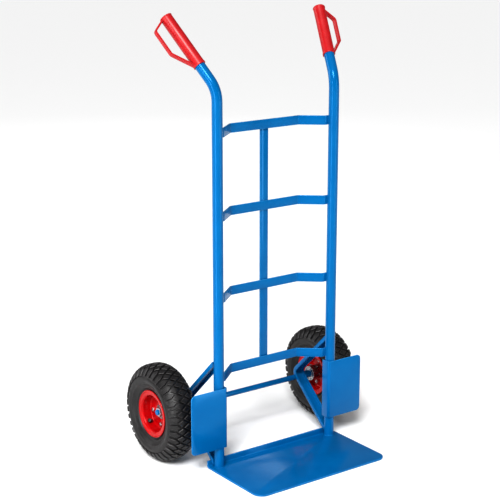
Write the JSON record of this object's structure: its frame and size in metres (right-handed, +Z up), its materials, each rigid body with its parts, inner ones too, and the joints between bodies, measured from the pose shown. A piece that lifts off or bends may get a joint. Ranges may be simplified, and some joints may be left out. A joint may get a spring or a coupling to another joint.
{
  "type": "hand truck",
  "caption": "Upright two-wheeled hand truck: welded tube frame with bowed crossbars, flat toe plate, wheel guards, guarded hand grips and pneumatic wheels on a fixed axle.",
  "frame": {"origin": "on the floor under the toe plate, midway between the two upright tubes", "axes": "+Z up, -Y to the front along the toe plate, +Y to the rear where the wheels are, +X to the truck's left hand side as seen from behind"},
  "size_m": [0.624, 0.486, 1.1659],
  "materials": {
    "frame_paint": "gloss blue powder coat",
    "rim_paint": "gloss red paint on pressed steel",
    "grip_vinyl": "satin red moulded PVC",
    "tyre_rubber": "matt black moulded rubber",
    "inner_tube_rubber": "matt black butyl rubber",
    "valve_rubber": "black rubber and plastic",
    "bearing_steel": "plain turned steel",
    "zinc": "bright zinc plate"
  },
  "bodies": {
    "frame": {"left_upright": "frame_paint", "right_upright": "frame_paint", "crossbar_1": "frame_paint", "crossbar_2": "frame_paint", "crossbar_3": "frame_paint", "crossbar_4": "frame_paint", "centre_strip": "frame_paint", "toe_plate": "frame_paint", "left_wheel_guard": "frame_paint", "right_wheel_guard": "frame_paint", "left_axle_bracket": "frame_paint", "right_axle_bracket": "frame_paint", "axle_bar": "frame_paint", "left_spacer": "frame_paint", "right_spacer": "frame_paint", "left_distance_sleeve": "bearing_steel", "right_distance_sleeve": "bearing_steel", "left_axle_washer": "zinc", "right_axle_washer": "zinc", "left_axle_nut": "zinc", "right_axle_nut": "zinc", "left_grip": "grip_vinyl", "right_grip": "grip_vinyl"},
    "left_wheel": {"left_tyre": "tyre_rubber", "left_inner_tube": "inner_tube_rubber", "left_outer_rim": "rim_paint", "left_inner_rim": "rim_paint", "left_hub": "bearing_steel", "left_outer_bearing": "bearing_steel", "left_inner_bearing": "bearing_steel", "left_rim_bolts": "zinc", "left_rim_nuts": "zinc", "left_valve_stem": "valve_rubber", "left_valve_cap": "valve_rubber"},
    "right_wheel": {"right_tyre": "tyre_rubber", "right_inner_tube": "inner_tube_rubber", "right_outer_rim": "rim_paint", "right_inner_rim": "rim_paint", "right_hub": "bearing_steel", "right_outer_bearing": "bearing_steel", "right_inner_bearing": "bearing_steel", "right_rim_bolts": "zinc", "right_rim_nuts": "zinc", "right_valve_stem": "valve_rubber", "right_valve_cap": "valve_rubber"}
  },
  "joints": [
    {"name": "left_wheel_spin", "type": "hinge", "parent": "frame", "child": "left_wheel", "pos_m": [-0.268, 0.144, 0.13], "axis": [1, 0, 0], "continuous": true},
    {"name": "right_wheel_spin", "type": "hinge", "parent": "frame", "child": "right_wheel", "pos_m": [0.268, 0.144, 0.13], "axis": [1, 0, 0], "continuous": true}
  ]
}
